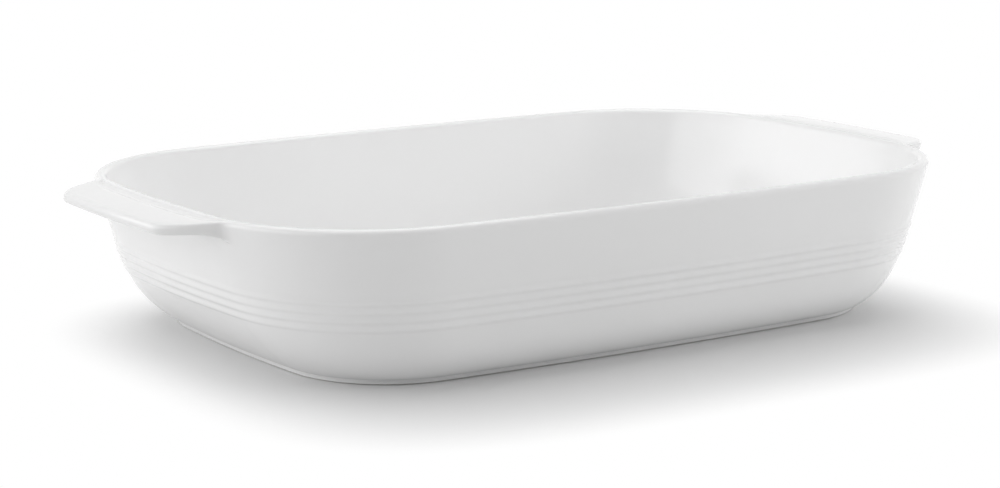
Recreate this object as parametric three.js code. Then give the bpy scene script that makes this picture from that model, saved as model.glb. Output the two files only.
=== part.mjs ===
// Rectangular baking dish of glazed ceramic, with lug handles, a ridged band and a bare foot ring.
// Millimetres, +Z up. The origin is on the table under the middle of the dish, with +X along its length.
import * as THREE from "three";

// Outline at the rim: bowed ends and sides, joined by wide corners
const rimLength = 340;
const rimWidth = 225;
const endBowRadius = 660;
const sideBowRadius = 1870;
const rimCornerRadius = 70;
const footCornerRadius = 44;

// Walls: straight from the rim down to bendTop, then one bend to the foot; floorFillet is inside
const endWall = { draft: THREE.MathUtils.degToRad(17), bendTop: 33, bendRadius: 54, floorFillet: 32 };
const sideWall = { draft: THREE.MathUtils.degToRad(11.4), bendTop: 17, bendRadius: 20, floorFillet: 14 };
const dishHeight = 64;
const wallThickness = 4.6;
const rimRound = wallThickness / 2;
const rimStart = dishHeight - rimRound; // the rim line, where the walls are widest
const floorTop = 8;

// Band of low rounded ridges round the wall
const ridgeCount = 4;
const ridgePitch = 3.5;
const ridgeRelief = 0.3;
const bandMiddle = 30.4;

// Foot ring
const footHeight = 2;
const footWidth = 7;
const footStep = 0.7; // how far the ring stands in from the wall's lower edge
const footRound = 1.2;

// Lug handles
const lugReach = 20; // outwards from the rim
const lugThickness = 4.4;
const lugTopDrop = 0.3; // top of the lug below the top of the rim, where it leaves it
const lugTopFall = 0.085; // how much the top falls outwards, per millimetre
const lugRootDrop = 10.5; // foot of the fillet under the lug
const lugTipRoot = 1.5; // height of that fillet at the tips, where the lug runs into the rim
const lugValley = 0.5; // depth of the shallow valley beside the rim
const lugValleyShare = 0.25; // over this much of the reach
const lugFilletReach = 8;
const lugEdgeShare = 0.3; // most of the reach that the rounded edge takes, near the tips
const lugHollow = 0.4; // how far the underside is drawn up for the fingers
const lugEdgeHalf = 38.5; // half of the straight outer edge
const lugCornerHandle = new THREE.Vector2(43.5, 20); // control points of the slanted ends: along, out
const lugSlantHandle = new THREE.Vector2(49, 11);
const lugTip = new THREE.Vector2(54.5, 1.6);
const jointGap = 0.3; // between a lug and the wall that carries it

// Facets
const endSteps = 3;
const cornerSteps = 10;
const sideSteps = 4;
const ridgeSteps = 4;
const bendSteps = 6;
const roundSteps = 6;
const lugEndSteps = 10;
const lugRoundSteps = 4;
const lugEdgeSteps = 6;

const glaze = new THREE.MeshStandardMaterial({ color: 0xf2f2f2, roughness: 0.12, metalness: 0 });
const bareClay = new THREE.MeshStandardMaterial({ color: 0xe9e8e5, roughness: 0.85, metalness: 0 });

// How far the outside of a wall stands in from the rim line, at height z.
function outsideTaper({ draft, bendTop, bendRadius }, z) {
  const straight = (rimStart - THREE.MathUtils.clamp(z, bendTop, rimStart)) * Math.tan(draft);
  if (z >= bendTop) return straight;
  const lean = Math.asin(Math.sin(draft) + (bendTop - z) / bendRadius);
  return straight + bendRadius * (Math.cos(draft) - Math.cos(lean));
}

// The same inside, where the straight draft runs into a fillet that is tangent to the floor.
function insideTaper({ draft, floorFillet }, z) {
  const filletTop = floorTop + floorFillet * (1 - Math.sin(draft));
  const straight = (rimStart - Math.max(z, filletTop)) * Math.tan(draft);
  if (z >= filletTop) return straight;
  const lean = Math.asin(1 - (z - floorTop) / floorFillet);
  return straight + floorFillet * (Math.cos(draft) - Math.cos(lean));
}

// A level of the dish: how far its ends and sides are drawn in from the rim line, and its inset.
function level(taper, z, inset = 0) {
  return { end: taper(endWall, z), side: taper(sideWall, z), inset, z };
}

const footLevel = level(outsideTaper, footHeight);

// One quarter of a level outline: an end arc, a corner arc and a side arc that meet in tangents.
// end and side draw the outline in as the walls lean, and inset moves it parallel to itself.
function quarterArcs({ end, side, inset }) {
  const turned = (end + side) / (footLevel.end + footLevel.side);
  const endRadius = endBowRadius - end - inset;
  const sideRadius = sideBowRadius - side - inset;
  const cornerRadius = THREE.MathUtils.lerp(rimCornerRadius, footCornerRadius, turned) - inset;
  const endCentre = new THREE.Vector2(rimLength / 2 - endBowRadius, 0);
  const sideCentre = new THREE.Vector2(0, rimWidth / 2 - sideBowRadius);

  // The corner's centre lies where its distances from the two other centres leave the arcs tangent.
  const between = sideCentre.clone().sub(endCentre);
  const span = between.length();
  const fromEnd = endRadius - cornerRadius;
  const fromSide = sideRadius - cornerRadius;
  const along = (fromEnd ** 2 - fromSide ** 2 + span ** 2) / (2 * span);
  const across = Math.sqrt(fromEnd ** 2 - along ** 2);
  const unit = between.divideScalar(span);
  const normal = new THREE.Vector2(-unit.y, unit.x);
  const cornerCentre = endCentre.clone().addScaledVector(unit, along).addScaledVector(normal, across);

  const endTurn = cornerCentre.clone().sub(endCentre).angle();
  const sideTurn = cornerCentre.clone().sub(sideCentre).angle();
  return [
    { centre: endCentre, radius: endRadius, from: 0, to: endTurn, steps: endSteps },
    { centre: cornerCentre, radius: cornerRadius, from: endTurn, to: sideTurn, steps: cornerSteps },
    { centre: sideCentre, radius: sideRadius, from: sideTurn, to: Math.PI / 2, steps: sideSteps },
  ];
}

function arcPoint(arc, angle) {
  const { centre, radius } = arc;
  return new THREE.Vector2(centre.x + radius * Math.cos(angle), centre.y + radius * Math.sin(angle));
}

// A whole level outline as a ring of points, anticlockwise from the middle of the +X end.
function ring(place) {
  const quarter = [];
  for (const arc of quarterArcs(place)) {
    for (let i = 0; i < arc.steps; i++) {
      quarter.push(arcPoint(arc, THREE.MathUtils.lerp(arc.from, arc.to, i / arc.steps)));
    }
  }
  const sideMiddle = new THREE.Vector2(0, rimWidth / 2 - place.side - place.inset);
  const back = [...quarter.slice(1), sideMiddle].reverse();
  const half = [...quarter, ...back.map((p) => new THREE.Vector2(-p.x, p.y))];
  const whole = [...half, ...half.map((p) => new THREE.Vector2(-p.x, -p.y))];
  return whole.map((p) => new THREE.Vector3(p.x, p.y, place.z));
}

// A closed surface through loops of equal count. The last loop is "joined" to the first one,
// or else both are closed by fans of triangles, round their "middle" or from their "first" point.
function skin(loops, closing = "middle") {
  const count = loops[0].length;
  const points = loops.flat();
  const last = points.length - count;
  const faces = [];
  const strips = closing === "joined" ? loops.length : loops.length - 1;
  for (let j = 0; j < strips; j++) {
    const low = j * count;
    const high = ((j + 1) % loops.length) * count;
    for (let i = 0; i < count; i++) {
      const next = (i + 1) % count;
      faces.push(low + i, low + next, high + next, low + i, high + next, high + i);
    }
  }
  if (closing === "middle") {
    const middleOf = (loop) => loop.reduce((sum, p) => sum.add(p), new THREE.Vector3()).divideScalar(count);
    const firstMiddle = points.push(middleOf(loops[0])) - 1;
    const lastMiddle = points.push(middleOf(loops.at(-1))) - 1;
    for (let i = 0; i < count; i++) {
      const next = (i + 1) % count;
      faces.push(firstMiddle, next, i, lastMiddle, last + i, last + next);
    }
  }
  if (closing === "first") {
    for (let i = 1; i < count - 1; i++) faces.push(0, i + 1, i, last, last + i, last + i + 1);
  }
  const geometry = new THREE.BufferGeometry().setFromPoints(points).setIndex(faces);
  geometry.computeVertexNormals();
  return geometry;
}

// The wall's section, as the levels of the body: up the outside, over the rim and down to the floor.
function dishBody() {
  const levels = [];
  const bandBottom = bandMiddle - (ridgeCount * ridgePitch) / 2;
  const bandTop = bandMiddle + (ridgeCount * ridgePitch) / 2;
  const outside = (z, inset) => levels.push(level(outsideTaper, z, inset));

  // Even steps of lean round the tight bend of the sides, up to the band
  const { draft, bendTop, bendRadius } = sideWall;
  const footLean = Math.asin(Math.sin(draft) + (bendTop - footHeight) / bendRadius);
  for (let i = 0; i <= bendSteps; i++) {
    const lean = THREE.MathUtils.lerp(footLean, draft, i / bendSteps);
    outside(bendTop - bendRadius * (Math.sin(lean) - Math.sin(draft)));
  }
  for (let i = 0; i <= ridgeCount * ridgeSteps; i++) {
    const turns = i / ridgeSteps;
    outside(bandBottom + turns * ridgePitch, -ridgeRelief * (0.5 - 0.5 * Math.cos(2 * Math.PI * turns)));
  }
  outside((bandTop + rimStart) / 2);
  for (let i = 0; i <= roundSteps; i++) {
    const turn = (Math.PI * i) / roundSteps;
    const inset = rimRound * (1 - Math.cos(turn));
    levels.push({ end: 0, side: 0, inset, z: rimStart + rimRound * Math.sin(turn) });
  }

  // Even steps of lean down the wide fillets of the ends, to the floor
  for (let i = 0; i <= roundSteps; i++) {
    const lean = THREE.MathUtils.lerp(endWall.draft, Math.PI / 2, i / roundSteps);
    levels.push(level(insideTaper, floorTop + endWall.floorFillet * (1 - Math.sin(lean)), wallThickness));
  }
  return skin(levels.map(ring));
}

// The bare ring that the dish stands on: a low band with rounded lower edges.
function footRing() {
  const outer = footStep;
  const inner = footStep + footWidth;
  const half = footRound * (1 - Math.SQRT1_2);
  const section = [
    { inset: inner - footRound, z: 0 },
    { inset: outer + footRound, z: 0 },
    { inset: outer + half, z: half },
    { inset: outer, z: footRound },
    { inset: outer, z: footHeight },
    { inset: inner, z: footHeight },
    { inset: inner, z: footRound },
    { inset: inner - half, z: half },
  ];
  return skin(section.map((place) => ring({ ...footLevel, ...place })), "joined");
}

// Plan of a lug, as its reach beyond the rim at places along the rim from the middle of the end.
function lugPlan() {
  const edgeEnd = new THREE.Vector2(lugEdgeHalf, lugReach);
  const end = new THREE.CubicBezierCurve(edgeEnd, lugCornerHandle, lugSlantHandle, lugTip);
  const right = end.getPoints(lugEndSteps);
  const middle = [];
  for (let i = 1; i < lugEdgeSteps; i++) {
    middle.push(new THREE.Vector2(lugEdgeHalf * ((2 * i) / lugEdgeSteps - 1), lugReach));
  }
  const left = right.map((p) => new THREE.Vector2(-p.x, p.y)).reverse();
  return [...left, ...middle, ...right];
}

// How far the outside of the ends stands out from the rim line at height z, with the rim's round.
function endOut(z) {
  if (z <= rimStart) return -outsideTaper(endWall, z);
  return Math.sqrt(rimRound ** 2 - (z - rimStart) ** 2) - rimRound;
}

// Section of a lug that reaches out this far: over the top, round the edge and back along the underside.
function lugSection(reach) {
  const share = reach / lugReach;
  const grown = Math.min(1, (reach - lugTip.y) / (lugReach / 2 - lugTip.y)); // whole from half the reach on
  const top = (out) => dishHeight - lugTopDrop - lugTopFall * out;
  const under = (out) => top(out) - lugThickness;
  const onWall = (z) => jointGap + endOut(z);
  const valley = top(0) - lugValley;
  const valleyEnd = jointGap + lugValleyShare * reach;
  const section = [[jointGap, rimStart], [onWall(valley), valley], [valleyEnd, top(valleyEnd)]];

  const edge = Math.min(lugThickness / 2, lugEdgeShare * reach);
  const edgeOut = reach - edge;
  const edgeMiddle = (top(edgeOut) + under(edgeOut)) / 2;
  for (let i = 0; i <= lugRoundSteps; i++) {
    const turn = Math.PI / 2 - (Math.PI * i) / lugRoundSteps;
    section.push([edgeOut + edge * Math.cos(turn), edgeMiddle + (lugThickness / 2) * Math.sin(turn)]);
  }

  const fillet = lugFilletReach * share;
  const arch = (fillet + edgeOut) / 2;
  section.push([arch, under(arch) + lugHollow * share]);
  const root = THREE.MathUtils.lerp(under(0) - lugTipRoot, dishHeight - lugRootDrop, grown);
  const head = onWall(under(0));
  const filletCurve = new THREE.QuadraticBezierCurve(
    new THREE.Vector2(fillet, under(fillet)),
    new THREE.Vector2(head, under(head)),
    new THREE.Vector2(onWall(root), root),
  );
  section.push(...filletCurve.getPoints(lugRoundSteps).map((p) => p.toArray()));
  return section;
}

// A lug handle on the +X end: sections across its plan, each square to the rim where it stands.
function lugHandle() {
  const [rimEnd, rimCorner] = quarterArcs(level(outsideTaper, rimStart));
  const endRun = rimEnd.radius * rimEnd.to;
  const loops = lugPlan().map(({ x: along, y: reach }) => {
    const run = Math.abs(along);
    const angle = run < endRun ? run / rimEnd.radius : rimEnd.to + (run - endRun) / rimCorner.radius;
    return lugSection(reach).map(([out, z]) => {
      const place = level(outsideTaper, z);
      const [end, corner] = quarterArcs({ ...place, inset: -(out + place.end) });
      const { x, y } = arcPoint(angle < end.to ? end : corner, angle);
      return new THREE.Vector3(x, Math.sign(along) * y, z);
    });
  });
  return skin(loops, "first");
}

function named(name, geometry, material) {
  const mesh = new THREE.Mesh(geometry, material);
  mesh.name = name;
  return mesh;
}

const dish = new THREE.Group();
dish.add(named("dish_body", dishBody(), glaze));
dish.add(named("foot_ring", footRing(), bareClay));
dish.add(named("right_handle", lugHandle(), glaze));

const leftEnd = new THREE.Group();
leftEnd.rotation.z = Math.PI;
leftEnd.add(named("left_handle", lugHandle(), glaze));
dish.add(leftEnd);

export default dish;
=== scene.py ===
import math

import bpy
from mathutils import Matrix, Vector


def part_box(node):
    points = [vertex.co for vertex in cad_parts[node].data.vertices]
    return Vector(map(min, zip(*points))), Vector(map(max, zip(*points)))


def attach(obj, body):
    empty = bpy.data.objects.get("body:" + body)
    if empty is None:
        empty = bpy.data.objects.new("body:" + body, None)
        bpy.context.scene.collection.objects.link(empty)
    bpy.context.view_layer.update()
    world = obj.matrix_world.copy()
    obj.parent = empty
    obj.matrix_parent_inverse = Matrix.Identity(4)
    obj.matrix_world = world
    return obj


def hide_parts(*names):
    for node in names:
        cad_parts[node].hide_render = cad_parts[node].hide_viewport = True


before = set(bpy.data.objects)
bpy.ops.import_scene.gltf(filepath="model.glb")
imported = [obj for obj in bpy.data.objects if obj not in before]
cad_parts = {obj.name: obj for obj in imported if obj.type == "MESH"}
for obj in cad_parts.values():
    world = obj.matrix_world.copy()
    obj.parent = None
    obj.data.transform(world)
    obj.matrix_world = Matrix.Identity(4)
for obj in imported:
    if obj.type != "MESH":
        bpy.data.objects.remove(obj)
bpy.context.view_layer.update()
scene = bpy.context.scene
mm = 0.001

# overall sizes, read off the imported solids
bodyLow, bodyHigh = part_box("dish_body")
halfLength = bodyHigh.x
halfWidth = bodyHigh.y
dishHeight = bodyHigh.z
footHeight = bodyLow.z
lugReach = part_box("right_handle")[1].x - halfLength
print("frame loaded, dish", round(2 * halfLength / mm), "x", round(2 * halfWidth / mm), "mm at the rim")


def addNode(tree, kind, settings=None, links=None):
    node = tree.nodes.new(kind)
    for name, value in (settings or {}).items():
        setattr(node, name, value)
    for socket, value in (links or {}).items():
        if isinstance(value, bpy.types.NodeSocket):
            tree.links.new(value, node.inputs[socket])
        else:
            node.inputs[socket].default_value = value
    return node


def maths(tree, operation, *values):  # one step of arithmetic on numbers
    return addNode(tree, "ShaderNodeMath", {"operation": operation}, dict(enumerate(values))).outputs[0]


def vectorMaths(tree, operation, *values):  # the same on vectors
    node = addNode(tree, "ShaderNodeVectorMath", {"operation": operation}, dict(enumerate(values)))
    return node.outputs[0]


def scaled(tree, vector, scale):
    node = addNode(tree, "ShaderNodeVectorMath", {"operation": "SCALE"}, {0: vector, "Scale": scale})
    return node.outputs[0]


def dotProduct(tree, a, b):
    node = addNode(tree, "ShaderNodeVectorMath", {"operation": "DOT_PRODUCT"}, {0: a, 1: b})
    return node.outputs["Value"]


def coordinates(tree, vector):
    return addNode(tree, "ShaderNodeSeparateXYZ", None, {0: vector}).outputs


def rescaled(tree, value, before=(0.0, 1.0), after=(0.0, 1.0), curve="LINEAR"):  # from one range to another
    return addNode(tree, "ShaderNodeMapRange", {"interpolation_type": curve}, {
        "Value": value, "From Min": before[0], "From Max": before[1],
        "To Min": after[0], "To Max": after[1]}).outputs[0]


def linearColour(hexText):  # colours are written in sRGB
    channels = [int(hexText[i:i + 2], 16) / 255 for i in (1, 3, 5)]
    return [c / 12.92 if c <= 0.04045 else ((c + 0.055) / 1.055) ** 2.4 for c in channels] + [1.0]


def mix(a, b, share):
    return a + (b - a) * share


def bezier(handles, steps):  # steps + 1 points along a curve of any order
    curve = []
    for i in range(steps + 1):
        points = [Vector(handle) for handle in handles]
        while len(points) > 1:
            points = [a.lerp(b, i / steps) for a, b in zip(points, points[1:])]
        curve.append(points[0])
    return curve


def newMaterial(name):
    material = bpy.data.materials.new(name)
    material.use_nodes = True
    material.node_tree.nodes.clear()
    return material, material.node_tree


def noise(tree, place, grain):
    return addNode(tree, "ShaderNodeTexNoise", None, {
        "Vector": place, "Scale": 1 / grain["size"], "Detail": grain["detail"]}).outputs["Fac"]


def bumped(tree, height, grain, under=None):  # normals of a grain's relief, laid over another's
    links = {"Strength": 1.0, "Distance": grain["depth"], "Height": height}
    if under is not None:
        links["Normal"] = under
    return addNode(tree, "ShaderNodeBump", None, links).outputs[0]


# Glazed porcelain: dipped in white glaze and fired, so the body is covered by a thin glassy coat.
# The eye gets a soft, even white with clean, slightly wavy highlights. It is painted a shade greyer on the
# rim's crest and the whole tops of the lugs, where the glaze runs thinner and painted shade lies, and a
# trace darker in the grooves, where the glaze pools and painted shade lies.
glazeLook = {
    "glaze": "#f7f7f7",
    # a shade greyer on the rim's crest and the lugs' tops: glaze run thinner, and painted shade
    "thinGlazeAndShade": "#f1f1f1",
    # a trace darker in the ridges' grooves: pooled glaze, and painted shade
    "pooledGlazeAndShade": "#f6f6f6",
    "cloud": {"size": 60 * mm, "detail": 2.0},  # slow drift of the fired white
    "cloudRange": (0.3, 0.7),
    "cloudFade": (0.985, 1.0),
    "wave": {"size": 14 * mm, "detail": 1.0, "depth": 0.04 * mm},  # long waves of the glaze
    "peel": {"size": 2.5 * mm, "detail": 2.0, "depth": 0.004 * mm},  # fine orange peel
    "roughness": (0.14, 0.19),
    "ior": 1.5,
}


def glazedPorcelain():
    look = glazeLook
    material, tree = newMaterial("glazed_porcelain")
    place = addNode(tree, "ShaderNodeTexCoord").outputs["Object"]
    # the ramp greys the crest and lug tops and darkens the grooves: painted shade, with thinner and pooled
    # glaze
    depth = addNode(tree, "ShaderNodeAttribute", {"attribute_name": "glazeDepth"}).outputs["Fac"]
    ramp = addNode(tree, "ShaderNodeValToRGB", None, {"Fac": rescaled(tree, depth, (-1.0, 1.0))})
    stops = ramp.color_ramp.elements
    stops[0].color = linearColour(look["thinGlazeAndShade"])
    stops[1].color = linearColour(look["pooledGlazeAndShade"])
    stops.new(0.5).color = linearColour(look["glaze"])  # half way, where the depth is 0
    fade = rescaled(tree, noise(tree, place, look["cloud"]), look["cloudRange"], look["cloudFade"])
    colour = scaled(tree, ramp.outputs["Color"], fade)

    wave = noise(tree, place, look["wave"])
    peel = noise(tree, place, look["peel"])
    waved = bumped(tree, wave, look["wave"])
    peeled = bumped(tree, peel, look["peel"], waved)
    roughness = rescaled(tree, wave, after=look["roughness"])
    shader = addNode(tree, "ShaderNodeBsdfPrincipled", None, {
        "Base Color": colour, "Roughness": roughness, "IOR": look["ior"], "Normal": peeled})
    addNode(tree, "ShaderNodeOutputMaterial", None, {"Surface": shader.outputs[0]})
    return material


# Bare porcelain: wiped clean of glaze before firing and rubbed flat, so the fired body itself shows.
# It gives a chalky, faintly warm white with fine grit and no highlight.
bareLook = {
    "clay": "#ecebe8",
    "gritColour": "#d8d4cd",
    # drawn coarser than the real grit, which would not show
    "grit": {"size": 0.8 * mm, "detail": 3.0, "depth": 0.03 * mm},
    "stain": {"size": 18 * mm, "detail": 3.0},
    "speckle": (0.2, 0.45),  # grit times stain, from plain clay to full grit
    "roughness": 0.85,
}


def barePorcelain():
    look = bareLook
    material, tree = newMaterial("bare_porcelain")
    place = addNode(tree, "ShaderNodeTexCoord").outputs["Object"]
    grit = noise(tree, place, look["grit"])
    stain = noise(tree, place, look["stain"])
    share = rescaled(tree, maths(tree, "MULTIPLY", grit, stain), look["speckle"])
    colour = addNode(tree, "ShaderNodeMix", {"data_type": "RGBA"}, {
        "Factor": share, "A": linearColour(look["clay"]),
        "B": linearColour(look["gritColour"])}).outputs["Result"]
    bump = bumped(tree, grit, look["grit"])
    shader = addNode(tree, "ShaderNodeBsdfPrincipled", None, {
        "Base Color": colour, "Roughness": look["roughness"], "Normal": bump})
    addNode(tree, "ShaderNodeOutputMaterial", None, {"Surface": shader.outputs[0]})
    return material


glazed = glazedPorcelain()
bare = barePorcelain()
print("materials ready:", glazed.name, bare.name)

# Outline and section of the dish
dishShape = {
    # radii of the outline: ends, sides, and corners at the rim and at the foot
    "endBow": 660 * mm,
    "sideBow": 1870 * mm,
    "rimCorner": 70 * mm,
    "footCorner": 44 * mm,
    # the walls run straight from the rim down to bendTop and bend once to the foot; the fillet is inside
    "endWall": {
        "draft": math.radians(17), "bendTop": 33 * mm, "bendRadius": 54 * mm, "floorFillet": 32 * mm},
    "sideWall": {
        "draft": math.radians(11.4), "bendTop": 17 * mm, "bendRadius": 20 * mm, "floorFillet": 14 * mm},
    "wall": 4.6 * mm,
    "floorTop": 8 * mm,
    # lower edge of the glaze, which leans in and ends just outside the foot ring
    "lip": {"low": 0.5 * mm, "thickness": 0.2 * mm, "lean": 0.45 * mm},
    "cornerSteps": 30,
    "sideSteps": 16,
    "bendSteps": 16,
    "insideSteps": 24,
    "flatSteps": 8,
    "footCrowding": 1.5,  # powers that crowd the rows towards the foot outside and the floor inside
    "floorCrowding": 2,
}
rimRound = dishShape["wall"] / 2
rimStart = dishHeight - rimRound  # the rim line, where the walls are widest
rimQuarter = rimRound * math.pi / 2  # run of the glaze from the crest to the rim line

# Band of low ridges round the wall
ridgeBand = {
    "count": 4,
    "pitch": 3.5 * mm,
    "relief": 0.43 * mm,
    "middle": 30.4 * mm,
    "stepsPerRidge": 10,
}
bandLow = ridgeBand["middle"] - ridgeBand["count"] * ridgeBand["pitch"] / 2
bandHigh = ridgeBand["middle"] + ridgeBand["count"] * ridgeBand["pitch"] / 2

# Lug handles, drawn out of the rim at both ends
lugShape = {
    "thickness": 4.4 * mm,
    "edgeRound": 2.0 * mm,
    "topDrop": 0.3 * mm,  # top below the crest of the rim, before it falls outwards
    "topFall": 0.045,  # how much the whole lug falls, per metre outwards
    "topStart": 5.3 * mm,  # where the even top begins, out from the rim line
    "valleyDrop": 1.1 * mm,  # shallow valley between crest and even top
    "valleyOut": 1.8 * mm,
    "valleySoftness": 1.0 * mm,  # length of the curve's handles there
    "crestTurn": math.radians(38),  # how far the rim's round goes on over the crest
    "rootDrop": 10.5 * mm,  # foot of the fillet under the lug
    "filletReach": 8 * mm,
    "hollow": 0.4 * mm,  # underside drawn up for the fingers
    "wholeDepth": 8 * mm,  # reach from which the lug has its whole depth
    "edgeHalf": 37 * mm,  # half of the straight outer edge, then the plan of the slanted ends: along, out
    "slant": ((43.6 * mm, 20 * mm), (48.4 * mm, 11.6 * mm), (53.6 * mm, 3.1 * mm)),
    "tip": ((55.3 * mm, 0.2 * mm), (59 * mm, 0)),  # the short run into the rim
    # at the tips the section has shrunk to the plain rim, where these lie this far from its crest
    "tipRuns": {"filletEnd": 10.4 * mm, "underEdge": 8.6 * mm, "topEdge": 1.0 * mm, "topStart": 0.8 * mm,
                "valley": 0.55 * mm, "crestEnd": 0.3 * mm},
    "edgeSteps": 6,  # along the plan
    "slantSteps": 28,
    "tipSteps": 14,
    "filletSteps": 12,  # round the section
    "underSteps": 8,
    "roundSteps": 6,
    "topSteps": 5,
    "valleySteps": 7,
    "crestSteps": 6,
}


def outsideTaper(wall, height):  # how far a wall stands in from the rim line at a height
    draft, bendTop, bend = wall["draft"], wall["bendTop"], wall["bendRadius"]
    straight = (rimStart - min(max(height, bendTop), rimStart)) * math.tan(draft)
    if height >= bendTop:
        return straight
    lean = math.asin(math.sin(draft) + (bendTop - height) / bend)
    return straight + bend * (math.cos(draft) - math.cos(lean))


def insideTaper(wall, height):  # the same inside, with the fillet down to the floor
    draft, fillet, floor = wall["draft"], wall["floorFillet"], dishShape["floorTop"]
    filletTop = floor + fillet * (1 - math.sin(draft))
    straight = (rimStart - max(height, filletTop)) * math.tan(draft)
    if height >= filletTop:
        return straight
    lean = math.asin(min(1, 1 - (height - floor) / fillet))
    return straight + fillet * (math.cos(draft) - math.cos(lean))


def level(taper, height, inset=0):  # how far ends and sides are drawn in, parallel inset, height
    end = taper(dishShape["endWall"], height)
    side = taper(dishShape["sideWall"], height)
    return Vector((end, side, inset, height))


footLevel = level(outsideTaper, footHeight)


def quarterArcs(end, side):  # end, corner and side arcs of a level, as centre, radius and turns
    shape = dishShape
    endRadius = shape["endBow"] - end
    sideRadius = shape["sideBow"] - side
    tightened = (end + side) / (footLevel[0] + footLevel[1])
    cornerRadius = mix(shape["rimCorner"], shape["footCorner"], tightened)
    endCentre = Vector((halfLength - shape["endBow"], 0))
    sideCentre = Vector((0, halfWidth - shape["sideBow"]))
    between = sideCentre - endCentre
    fromEnd = endRadius - cornerRadius
    fromSide = sideRadius - cornerRadius
    along = (fromEnd ** 2 - fromSide ** 2 + between.length_squared) / (2 * between.length)
    across = math.sqrt(fromEnd ** 2 - along ** 2)
    unit = between.normalized()
    cornerCentre = endCentre + unit * along + Vector((-unit.y, unit.x)) * across
    toEnd = cornerCentre - endCentre
    toSide = cornerCentre - sideCentre
    endTurn = math.atan2(toEnd.y, toEnd.x)
    sideTurn = math.atan2(toSide.y, toSide.x)
    return [(endCentre, endRadius, 0, endTurn),
            (cornerCentre, cornerRadius, endTurn, sideTurn),
            (sideCentre, sideRadius, sideTurn, math.pi / 2)]


def arcPoint(arcs, arc, share):  # place on an arc, and the way outwards there
    centre, radius, start, stop = arcs[arc]
    turn = mix(start, stop, share)
    outward = Vector((math.cos(turn), math.sin(turn)))
    return centre + outward * radius, outward


def lugPlan():  # half a lug from its middle to its tip: run along the rim, reach beyond it
    lug = lugShape
    edgeEnd = (lug["edgeHalf"], lugReach)
    edge = bezier([(0, lugReach), edgeEnd], lug["edgeSteps"])
    slant = bezier([edgeEnd, *lug["slant"]], lug["slantSteps"])
    tip = bezier([slant[-1], *lug["tip"]], lug["tipSteps"])
    return edge[:-1] + slant[:-1] + tip


def rimStations():  # anticlockwise from the middle of the -Y side, the last on the first
    rim = quarterArcs(0, 0)
    endsIn = quarterArcs(footLevel[0], 0)
    bothIn = quarterArcs(footLevel[0], footLevel[1])
    endRun = rim[0][1] * rim[0][3]
    cornerRun = rim[1][1] * (rim[1][3] - rim[1][2])
    quarter = []  # arc, share of it, reach of the lug, whether the lug is here
    for run, reach in lugPlan():
        place = (0, run / endRun) if run < endRun else (1, (run - endRun) / cornerRun)
        quarter.append((*place, reach, 1.0))
    tip = quarter[-1][1]
    for i in range(1, dishShape["cornerSteps"] + 1):
        quarter.append((1, mix(tip, 1, i / dishShape["cornerSteps"]), 0.0, 0.0))
    for i in range(1, dishShape["sideSteps"] + 1):
        quarter.append((2, i / dishShape["sideSteps"], 0.0, 0.0))

    stations = []
    quarters = (
        (1, -1, quarter[::-1]), (1, 1, quarter[1:]), (-1, 1, quarter[-2::-1]), (-1, -1, quarter[1:]))
    for signX, signY, part in quarters:
        for arc, share, reach, lug in part:
            place, outward = arcPoint(rim, arc, share)
            drawnIn = arcPoint(endsIn, arc, share)[0]
            endDrift = (place - drawnIn) / footLevel[0]
            sideDrift = (drawnIn - arcPoint(bothIn, arc, share)[0]) / footLevel[1]
            stations.append({
                "position": (place.x * signX, place.y * signY, 0),
                "outward": (outward.x * signX, outward.y * signY, 0),
                "endDrift": (endDrift.x * signX, endDrift.y * signY, 0),
                "sideDrift": (sideDrift.x * signX, sideDrift.y * signY, 0),
                "swell": reach / lugReach,
                "depth": min(1.0, reach / lugShape["wholeDepth"]),
                "lugSide": lug * signX,
            })
    return stations


def rimRow(run):  # level of the glaze this far outwards from the crest
    if run > rimQuarter:
        return level(outsideTaper, rimStart - (run - rimQuarter))
    turn = run / rimRound
    return Vector((0, 0, rimRound * (1 - math.sin(turn)), rimStart + rimRound * math.cos(turn)))


def lugEdge(top, under):  # rounded outer edge, from the underside up to the top
    radius, steps = lugShape["edgeRound"], lugShape["roundSteps"]
    edge = []
    for middle, start in ((under + radius, -math.pi / 2), (top - radius, 0)):
        for i in range(steps + 1):
            turn = start + math.pi / 2 * i / steps
            out = lugReach - radius + radius * math.cos(turn)
            edge.append(Vector((out, middle + radius * math.sin(turn))))
    return edge


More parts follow.
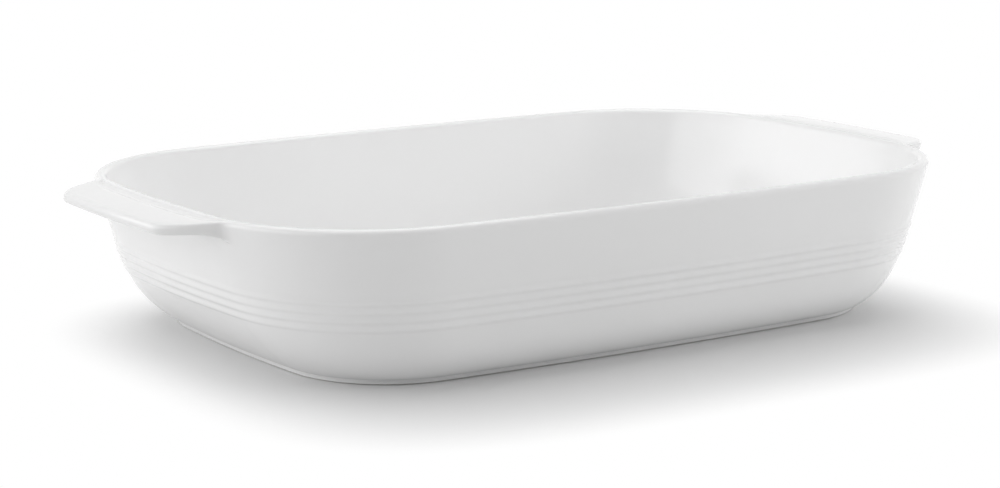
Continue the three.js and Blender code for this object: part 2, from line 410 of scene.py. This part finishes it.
def lugRows():  # from the wall under the lug, round its edge and over its top to the crest
    lug, runs = lugShape, lugShape["tipRuns"]
    top = dishHeight - lug["topDrop"]
    under = top - lug["thickness"]
    root = dishHeight - lug["rootDrop"]
    endWall = dishShape["endWall"]
    wallFoot = Vector((-outsideTaper(endWall, root), root))
    wallHead = Vector((-outsideTaper(endWall, under), under))
    filletEnd = Vector((lug["filletReach"], under))
    edge = lugEdge(top, under)
    arched = Vector(((lug["filletReach"] + edge[0].x) / 2, under + 2 * lug["hollow"]))
    topStart = Vector((lug["topStart"], top))
    valley = Vector((lug["valleyOut"], dishHeight - lug["valleyDrop"]))
    crest = []
    for i in range(lug["crestSteps"] + 1):
        turn = lug["crestTurn"] * (1 - i / lug["crestSteps"])
        crest.append(Vector((rimRound * (math.sin(turn) - 1), rimStart + rimRound * math.cos(turn))))
    outwards = Vector((lug["valleySoftness"], 0))
    downwards = Vector((math.cos(lug["crestTurn"]), -math.sin(lug["crestTurn"]))) * lug["valleySoftness"]

    stretches = [  # points of each stretch, and how far from the crest it ends on the plain rim
        (bezier([wallFoot, wallHead, filletEnd], lug["filletSteps"]), runs["filletEnd"]),
        (bezier([filletEnd, arched, edge[0]], lug["underSteps"]), runs["underEdge"]),
        (edge, runs["topEdge"]),
        (bezier([edge[-1], topStart], lug["topSteps"]), runs["topStart"]),
        (bezier([topStart, topStart - outwards, valley + outwards, valley], lug["valleySteps"]),
         runs["valley"]),
        (bezier([valley, valley - outwards, crest[0] + downwards, crest[0]], lug["valleySteps"]),
         runs["crestEnd"]),
        (crest, 0),
    ]
    rows = []
    run = rimQuarter + rimStart - root
    for points, nextRun in stretches:
        for i in range(1 if rows else 0, len(points)):
            rows.append((points[i], mix(run, nextRun, i / (len(points) - 1))))
        run = nextRun
    return rows


def sectionRow(place, shrink=1.0, lug=None, onLug=0.0, thin=(0, 0)):
    end, side, inset, height = place
    return {
        "position": (end, side, height),
        "inset": float(inset),
        "lugPlace": (lug.x, 1, lug.y) if lug else (0, 0, 0),
        "fall": max(0.0, lug.x) * lugShape["topFall"] if lug else 0.0,
        "shrink": shrink,
        "onLug": onLug,
        "thin": (*thin, 0),
    }


def glazeSection():  # from the middle of the underside, up the wall and over the rim to the floor's middle
    shape = dishShape
    flat = shape["flatSteps"]
    lip = shape["lip"]
    lipInside = footLevel + Vector((0, 0, lip["lean"] + lip["thickness"], 0))
    rows = [sectionRow(lipInside, shrink=math.sin(math.pi / 2 * i / flat)) for i in range(flat + 1)]
    for i in range(flat + 1):
        turn = math.pi * i / flat
        inset = lip["lean"] + lip["thickness"] / 2 * (1 + math.cos(turn))
        height = lip["low"] + lip["thickness"] / 2 * (1 - math.sin(turn))
        rows.append(sectionRow((footLevel[0], footLevel[1], inset, height)))
    rows.append(sectionRow(footLevel))

    root = dishHeight - lugShape["rootDrop"]
    bend = shape["bendSteps"]
    bandSteps = ridgeBand["count"] * ridgeBand["stepsPerRidge"]
    heights = [mix(footHeight, bandLow, (i / bend) ** shape["footCrowding"]) for i in range(1, bend)]
    heights += [mix(bandLow, bandHigh, i / bandSteps) for i in range(bandSteps + 1)]
    heights += [mix(bandHigh, root, i / flat) for i in range(1, flat)]
    rows += [sectionRow(level(outsideTaper, height)) for height in heights]

    lug = lugRows()
    for i, (point, run) in enumerate(lug):
        place = None if i in (0, len(lug) - 1) else point  # the seams stay on the rim
        # the crest and the whole top of the lug are greyed: glaze run thinner over the crest, and painted
        # shade
        thinRimAndShade = max(0, 1 - run / rimQuarter)
        thinLugTopAndShade = 1.0 if point.y > dishHeight - lugShape["thickness"] and point.x > 0 else 0.0
        rows.append(sectionRow(rimRow(run), lug=place, onLug=1.0, thin=(thinRimAndShade, thinLugTopAndShade)))

    # inside the crest the painted shade and thinner glaze fade out over the rim's inner round
    for i in range(1, flat + 1):
        turn = math.pi / 2 * i / flat
        inset, height = rimRound * (1 + math.sin(turn)), rimStart + rimRound * math.cos(turn)
        rows.append(sectionRow((0, 0, inset, height), thin=(1 - i / flat, 0)))
    for i in range(1, shape["insideSteps"] + 1):
        height = mix(shape["floorTop"], rimStart, (1 - i / shape["insideSteps"]) ** shape["floorCrowding"])
        rows.append(sectionRow(level(insideTaper, height, shape["wall"])))
    floorEdge = level(insideTaper, shape["floorTop"], shape["wall"])
    rows += [sectionRow(floorEdge, shrink=math.cos(math.pi / 2 * i / flat)) for i in range(1, flat + 1)]
    return rows


def pointCloud(name, points):  # vertices whose attributes a tree samples by index
    mesh = bpy.data.meshes.new(name)
    mesh.from_pydata([point["position"] for point in points], [], [])
    for key, sample in points[0].items():
        if key == "position":
            continue
        kind = "FLOAT_VECTOR" if isinstance(sample, tuple) else "FLOAT"
        data = mesh.attributes.new(key, kind, "POINT").data
        for item, point in zip(data, points):
            setattr(item, "vector" if kind == "FLOAT_VECTOR" else "value", point[key])
    cloud = bpy.data.objects.new(name, mesh)
    scene.collection.objects.link(cloud)
    return cloud


def newTree(name, inputs):
    tree = bpy.data.node_groups.new(name, "GeometryNodeTree")
    for label, kind in inputs:
        tree.interface.new_socket(label, in_out="INPUT", socket_type="NodeSocket" + kind)
    tree.interface.new_socket("Geometry", in_out="OUTPUT", socket_type="NodeSocketGeometry")
    return tree, addNode(tree, "NodeGroupInput").outputs


def attribute(tree, name, kind):
    node = addNode(tree, "GeometryNodeInputNamedAttribute", {"data_type": kind}, {"Name": name})
    return node.outputs["Attribute"]


def stored(tree, shape, name, kind, value):
    return addNode(tree, "GeometryNodeStoreNamedAttribute", {"data_type": kind, "domain": "POINT"}, {
        "Geometry": shape, "Name": name, "Value": value}).outputs[0]


def endTree(tree, shape, finish):
    real = addNode(tree, "GeometryNodeRealizeInstances", None, {"Geometry": shape}).outputs[0]
    made = addNode(tree, "GeometryNodeSetMaterial", None, {"Geometry": real, "Material": finish}).outputs[0]
    addNode(tree, "NodeGroupOutput", None, {"Geometry": made})


weldDistance = 0.001 * mm  # joins the seam, and the rows that shrink to a point


# A section carried round the rim path: a grid of stations by rows, each point placed by its two samples
def sweptSectionTree():
    tree, given = newTree("sweptSection", [
        ("Rim path", "Object"), ("Section", "Object"), ("Stations", "Int"), ("Rows", "Int"),
        ("Finish", "Material")])
    grid = addNode(tree, "GeometryNodeMeshGrid", None, {
        "Vertices X": given["Stations"], "Vertices Y": given["Rows"]}).outputs["Mesh"]
    index = addNode(tree, "GeometryNodeInputIndex").outputs[0]
    station = addNode(tree, "FunctionNodeIntegerMath", {"operation": "DIVIDE_FLOOR"}, {
        0: index, 1: given["Rows"]}).outputs[0]
    row = addNode(tree, "FunctionNodeIntegerMath", {"operation": "MODULO"}, {
        0: index, 1: given["Rows"]}).outputs[0]
    path, section = [
        addNode(tree, "GeometryNodeObjectInfo", None, {"Object": given[name]}).outputs["Geometry"]
        for name in ("Rim path", "Section")]
    at = {}
    for key, source, where, name, kind in (
        ("rim", path, station, "position", "FLOAT_VECTOR"),
        ("outward", path, station, "outward", "FLOAT_VECTOR"),
        ("endDrift", path, station, "endDrift", "FLOAT_VECTOR"),
        ("sideDrift", path, station, "sideDrift", "FLOAT_VECTOR"),
        ("swell", path, station, "swell", "FLOAT"),
        ("depth", path, station, "depth", "FLOAT"),
        ("lugSide", path, station, "lugSide", "FLOAT"),
        ("wall", section, row, "position", "FLOAT_VECTOR"),
        ("inset", section, row, "inset", "FLOAT"),
        ("lug", section, row, "lugPlace", "FLOAT_VECTOR"),
        ("fall", section, row, "fall", "FLOAT"),
        ("shrink", section, row, "shrink", "FLOAT"),
        ("onLug", section, row, "onLug", "FLOAT"),
        ("thin", section, row, "thin", "FLOAT_VECTOR"),
    ):
        at[key] = addNode(tree, "GeometryNodeSampleIndex", {"data_type": kind}, {
            "Geometry": source, "Value": attribute(tree, name, kind), "Index": where}).outputs["Value"]

    wall = coordinates(tree, at["wall"])  # ends in, sides in, height
    lug = coordinates(tree, at["lug"])  # reach, weight, height
    thin = coordinates(tree, at["thin"])  # on the rim, on the lug
    wallLevel = at["rim"]
    for way, distance in (
        (at["endDrift"], wall[0]), (at["sideDrift"], wall[1]), (at["outward"], at["inset"]),
    ):
        wallLevel = vectorMaths(tree, "SUBTRACT", wallLevel, scaled(tree, way, distance))
    lugLevel = vectorMaths(tree, "ADD", at["rim"], scaled(tree, at["outward"], lug[0]))
    flat = addNode(tree, "ShaderNodeMix", {"data_type": "VECTOR"}, {
        "Factor": maths(tree, "MULTIPLY", at["swell"], lug[1]),
        "A": wallLevel, "B": lugLevel}).outputs["Result"]
    even = addNode(tree, "ShaderNodeMix", {"data_type": "FLOAT"}, {
        "Factor": maths(tree, "MULTIPLY", at["depth"], lug[1]),
        "A": wall[2], "B": lug[2]}).outputs["Result"]
    height = maths(tree, "SUBTRACT", even, maths(tree, "MULTIPLY", at["swell"], at["fall"]))
    upwards = addNode(tree, "ShaderNodeCombineXYZ", None, {2: height}).outputs[0]
    place = vectorMaths(tree, "ADD", scaled(tree, flat, at["shrink"]), upwards)

    part = maths(tree, "MULTIPLY", at["lugSide"], at["onLug"])
    # greyed crest and lug top, painted shade with thinner glaze; stored negative, the grooves' shade
    # positive
    thinningAndShade = maths(tree, "MULTIPLY_ADD", thin[1], at["swell"], thin[0])
    depth = maths(tree, "MULTIPLY", thinningAndShade, -1.0)
    shape = grid
    for name, kind, value in (
        ("station", "INT", station), ("row", "INT", row),
        ("lugPart", "FLOAT", part), ("glazeDepth", "FLOAT", depth),
    ):
        shape = stored(tree, shape, name, kind, value)
    shape = addNode(tree, "GeometryNodeSetPosition", None, {"Geometry": shape, "Position": place}).outputs[0]
    shape = addNode(tree, "GeometryNodeMergeByDistance", None, {
        "Geometry": shape, "Distance": weldDistance}).outputs[0]
    endTree(tree, shape, given["Finish"])
    return tree


# Low ridges pressed out of the wall's outside; their grooves a trace darker, pooled glaze and painted shade
def ridgedBandTree():
    tree, given = newTree("ridgedBand", [
        ("Geometry", "Geometry"), ("Count", "Float"), ("Pitch", "Float"), ("Relief", "Float"),
        ("Middle", "Float"), ("Finish", "Material")])
    position = addNode(tree, "GeometryNodeInputPosition").outputs[0]
    normal = addNode(tree, "GeometryNodeInputNormal").outputs[0]
    above = maths(tree, "SUBTRACT", coordinates(tree, position)[2], given["Middle"])
    ridges = maths(tree, "DIVIDE", above, given["Pitch"])  # counted up from the middle of the band
    half = maths(tree, "MULTIPLY", given["Count"], 0.5)
    turns = maths(tree, "ADD", ridges, half)
    cosine = maths(tree, "COSINE", maths(tree, "MULTIPLY", turns, 2 * math.pi))
    wave = maths(tree, "MULTIPLY_ADD", cosine, -0.5, 0.5)  # 0 in the grooves, 1 on the ridges
    within = maths(tree, "LESS_THAN", maths(tree, "ABSOLUTE", ridges), half)
    outside = maths(tree, "GREATER_THAN", dotProduct(tree, normal, position), 0.0)
    banded = maths(tree, "MULTIPLY", within, outside)
    raised = maths(tree, "MULTIPLY", wave, banded)
    offset = scaled(tree, normal, maths(tree, "MULTIPLY", raised, given["Relief"]))
    # 1 in the grooves, where painted shade and pooled glaze darken the colour
    pooledAndShade = maths(tree, "SUBTRACT", banded, raised)
    depth = maths(tree, "ADD", attribute(tree, "glazeDepth", "FLOAT"), pooledAndShade)

    shape = stored(tree, given["Geometry"], "glazeDepth", "FLOAT", depth)
    shape = addNode(tree, "GeometryNodeSetPosition", None, {"Geometry": shape, "Offset": offset}).outputs[0]
    shape = stored(tree, shape, "glazeNormal", "FLOAT_VECTOR", normal)
    endTree(tree, shape, given["Finish"])
    return tree


def plainMesh(name, modifiers):  # runs the trees on an empty mesh and keeps the result
    maker = bpy.data.objects.new(name, bpy.data.meshes.new(name))
    scene.collection.objects.link(maker)
    for tree, values in modifiers:
        modifier = maker.modifiers.new(tree.name, "NODES")
        modifier.node_group = tree
        for item in tree.interface.items_tree:
            if item.in_out == "INPUT" and item.name in values:
                modifier[item.identifier] = values[item.name]
    depsgraph = bpy.context.evaluated_depsgraph_get()
    mesh = bpy.data.meshes.new_from_object(maker.evaluated_get(depsgraph))
    bpy.data.objects.remove(maker)
    return mesh


stations = rimStations()
rows = glazeSection()
rimPath = pointCloud("rimPath", stations)
glazeProfile = pointCloud("glazeProfile", rows)
sweptSection = sweptSectionTree()
skin = plainMesh("glazeSkin", [
    (sweptSection, {"Rim path": rimPath, "Section": glazeProfile, "Stations": len(stations),
                    "Rows": len(rows), "Finish": glazed}),
    (ridgedBandTree(), {"Count": float(ridgeBand["count"]), "Pitch": ridgeBand["pitch"],
                        "Relief": ridgeBand["relief"], "Middle": ridgeBand["middle"], "Finish": glazed}),
])
print("glaze skin:", len(skin.vertices), "points,", len(skin.polygons), "faces")


def readAttribute(mesh, name, kind):
    data = mesh.attributes[name].data
    if kind == "vector":
        return [item.vector.copy() for item in data]
    return [item.value for item in data]


# The skin is one surface, so the body and the lugs are parted along shared points and keep its shading.
# A hidden strip inside the wall closes each of them.
def partSkin(mesh):
    lugPart = [round(value) for value in readAttribute(mesh, "lugPart", "value")]
    station = readAttribute(mesh, "station", "value")
    row = readAttribute(mesh, "row", "value")
    parts = {0: [], 1: [], -1: []}
    for polygon in mesh.polygons:
        marks = {lugPart[v] for v in polygon.vertices}
        parts[marks.pop() if len(marks) == 1 else 0].append(tuple(polygon.vertices))
    closings = {0: [], 1: [], -1: []}
    for side in (1, -1):
        point = {(station[v], row[v]): v for v in range(len(lugPart)) if lugPart[v] == side}
        first, last = min(s for s, r in point), max(s for s, r in point)
        low, high = min(r for s, r in point), max(r for s, r in point)
        closing = [(point[s, low], point[s, high], point[s + 1, high], point[s + 1, low])
                   for s in range(first, last)]
        closing.append(tuple(point[first, r] for r in range(low, high + 1)))
        closing.append(tuple(point[last, r] for r in range(high, low - 1, -1)))
        closings[side] = closing
        closings[0] += [face[::-1] for face in closing]
    return parts, closings


def skinPiece(name, mesh, faces, closing):
    normals = readAttribute(mesh, "glazeNormal", "vector")
    depthsAndShades = readAttribute(mesh, "glazeDepth", "value")
    used = sorted({v for face in faces + closing for v in face})
    place = {v: i for i, v in enumerate(used)}
    made = bpy.data.meshes.new(name)
    made.from_pydata([mesh.vertices[v].co for v in used], [],
                     [[place[v] for v in face] for face in faces + closing])
    depth = made.attributes.new("glazeDepth", "FLOAT", "POINT")
    for item, v in zip(depth.data, used):
        item.value = depthsAndShades[v]
    made.polygons.foreach_set("use_smooth", [True] * len(faces) + [False] * len(closing))
    split = [normals[v] for face in faces for v in face] + [Vector() for face in closing for v in face]
    made.normals_split_custom_set(split)
    made.materials.append(glazed)
    piece = bpy.data.objects.new(name, made)
    scene.collection.objects.link(piece)
    return piece


parts, closings = partSkin(skin)
dishBody = skinPiece("glazed_body", skin, parts[0], closings[0])
rightLug = skinPiece("right_lug", skin, parts[1], closings[1])
leftLug = skinPiece("left_lug", skin, parts[-1], closings[-1])
print("body and lugs parted:", [len(o.data.polygons) for o in (dishBody, rightLug, leftLug)])

# Bare foot ring under the floor, rubbed flat
footShape = {
    "step": 0.7 * mm,  # in from the wall's lower edge
    "width": 7 * mm,
    "round": 1.2 * mm,
    "roundSteps": 6,
    "sharpAngle": math.radians(50),  # edges that turn further stay crisp
}


def footSection():  # the ring's section, from its inner top edge, down, across and up again
    foot = footShape
    outer, inner = foot["step"], foot["step"] + foot["width"]
    loop = [(inner, footHeight)]
    for i in range(foot["roundSteps"] + 1):
        turn = math.pi / 2 * i / foot["roundSteps"]
        loop.append((inner - foot["round"] * (1 - math.cos(turn)), foot["round"] * (1 - math.sin(turn))))
    for i in range(foot["roundSteps"] + 1):
        turn = math.pi / 2 * (1 - i / foot["roundSteps"])
        loop.append((outer + foot["round"] * (1 - math.cos(turn)), foot["round"] * (1 - math.sin(turn))))
    loop += [(outer, footHeight), (inner, footHeight)]
    return [sectionRow((footLevel[0], footLevel[1], inset, height)) for inset, height in loop]


footRows = footSection()
footProfile = pointCloud("footProfile", footRows)
footMesh = plainMesh("bare_foot", [
    (sweptSection, {"Rim path": rimPath, "Section": footProfile, "Stations": len(stations),
                    "Rows": len(footRows), "Finish": bare}),
])
footMesh.shade_smooth()
footMesh.set_sharp_from_angle(angle=footShape["sharpAngle"])
bareFoot = bpy.data.objects.new("bare_foot", footMesh)
scene.collection.objects.link(bareFoot)
for helper in (rimPath, glazeProfile, footProfile):
    bpy.data.objects.remove(helper)
print("foot ring:", len(footMesh.polygons), "faces")

# Studio: white paper under the dish, a large softbox above it, a long bank on its left and fills round it
studio = {
    "paper": "#e5e5e5",
    "paperSize": 12.0,
    # the dish's shadow lies on a rounded patch of paper, which fades to white by the fourth powers of
    # the distances from its middle, as shares of the half axes
    "shadow": {"middle": (-0.006, -0.03, 0), "halfAxes": (0.179, 0.146, 1), "fade": (0.08, 1.28)},
    "ambient": 0.03,  # strength of the world as a light
    "aim": (0, 0, 0.03),
    "softboxes": {  # in metres and watts; a mirrored one leaves a window in the glaze
        "overhead": {"place": (0, 0.2, 1.25), "size": (1.5, 1.2), "power": 10.9, "mirrored": True},
        "left": {"place": (-1.2, 0.3, 0.42), "size": (2.5, 0.9), "power": 12.2, "mirrored": True},
        "front": {"place": (0, -1.1, 0.85), "size": (1.6, 0.9), "power": 2.2, "mirrored": False},
        "right": {"place": (1.0, -0.8, 0.45), "size": (1.2, 0.8), "power": 7.6, "mirrored": False},
        "back": {"place": (0.9, 0.9, 0.45), "size": (1.2, 0.8), "power": 5.0, "mirrored": False},
    },
}


def whiteRays(tree):  # 1 for rays that show the background: seen, mirrored or through glass
    rays = addNode(tree, "ShaderNodeLightPath").outputs
    indirect = maths(tree, "MAXIMUM", rays["Is Glossy Ray"], rays["Is Transmission Ray"])
    return maths(tree, "MAXIMUM", rays["Is Camera Ray"], indirect)


def paperSweep():
    shadow = studio["shadow"]
    material, tree = newMaterial("white_paper")
    place = addNode(tree, "ShaderNodeTexCoord").outputs["Object"]
    patch = addNode(tree, "ShaderNodeMapping", {"vector_type": "TEXTURE"}, {
        "Vector": place, "Location": shadow["middle"], "Scale": shadow["halfAxes"]}).outputs[0]
    squares = vectorMaths(tree, "MULTIPLY", patch, patch)
    away = dotProduct(tree, squares, squares)
    clear = rescaled(tree, away, shadow["fade"], curve="SMOOTHSTEP")
    share = maths(tree, "MULTIPLY", clear, whiteRays(tree))
    colour = linearColour(studio["paper"])
    paper = addNode(tree, "ShaderNodeBsdfDiffuse", None, {"Color": colour}).outputs[0]
    glow = addNode(tree, "ShaderNodeEmission", None, {"Strength": 1.0}).outputs[0]
    surface = addNode(tree, "ShaderNodeMixShader", None, {0: share, 1: paper, 2: glow}).outputs[0]
    addNode(tree, "ShaderNodeOutputMaterial", None, {"Surface": surface})
    return material


def softbox(name, box):
    lamp = bpy.data.lights.new(name, "AREA")
    lamp.shape = "RECTANGLE"
    lamp.size, lamp.size_y = box["size"]
    lamp.energy = box["power"]
    holder = bpy.data.objects.new(name, lamp)
    holder.location = box["place"]
    holder.visible_glossy = box["mirrored"]
    inwards = Vector(studio["aim"]) - Vector(box["place"])
    holder.rotation_euler = inwards.to_track_quat("-Z", "Y").to_euler()
    scene.collection.objects.link(holder)


def buildStudio():
    half = studio["paperSize"] / 2
    mesh = bpy.data.meshes.new("paper")
    corners = [(-half, -half, 0), (half, -half, 0), (half, half, 0), (-half, half, 0)]
    mesh.from_pydata(corners, [], [(0, 1, 2, 3)])
    mesh.materials.append(paperSweep())
    paper = bpy.data.objects.new("paper", mesh)
    scene.collection.objects.link(paper)
    for name, box in studio["softboxes"].items():
        softbox(name + "Softbox", box)

    world = bpy.data.worlds.new("studioWorld")
    world.use_nodes = True
    tree = world.node_tree
    tree.nodes.clear()
    strength = rescaled(tree, whiteRays(tree), after=(studio["ambient"], 1.0))
    white = addNode(tree, "ShaderNodeBackground", None, {"Color": (1, 1, 1, 1), "Strength": strength})
    addNode(tree, "ShaderNodeOutputWorld", None, {"Surface": white.outputs[0]})
    scene.world = world
    scene.view_settings.view_transform = "Standard"


buildStudio()
print("studio lit")

# Camera, left of the dish's front and a little above it
viewpoint = {
    "azimuth": math.radians(-33.46),
    "elevation": math.radians(11.14),
    "distance": 975.1 * mm,
    "target": Vector((-44, -51.42, 41.39)) * mm,
    "lens": 88.9,  # both in millimetres, as Blender takes them
    "sensor": 36,
}


def placeCamera():
    camera = bpy.data.objects.new("camera", bpy.data.cameras.new("camera"))
    azimuth, elevation = viewpoint["azimuth"], viewpoint["elevation"]
    back = Vector((math.sin(azimuth) * math.cos(elevation), -math.cos(azimuth) * math.cos(elevation),
                   math.sin(elevation)))
    camera.location = viewpoint["target"] + back * viewpoint["distance"]
    camera.rotation_euler = back.to_track_quat("Z", "Y").to_euler()
    camera.data.lens = viewpoint["lens"]
    camera.data.sensor_width = viewpoint["sensor"]
    scene.collection.objects.link(camera)
    scene.camera = camera


placeCamera()
print("camera placed")

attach(dishBody, "root")
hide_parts("dish_body")
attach(rightLug, "root")
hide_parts("right_handle")
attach(leftLug, "root")
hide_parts("left_handle")
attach(bareFoot, "root")
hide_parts("foot_ring")
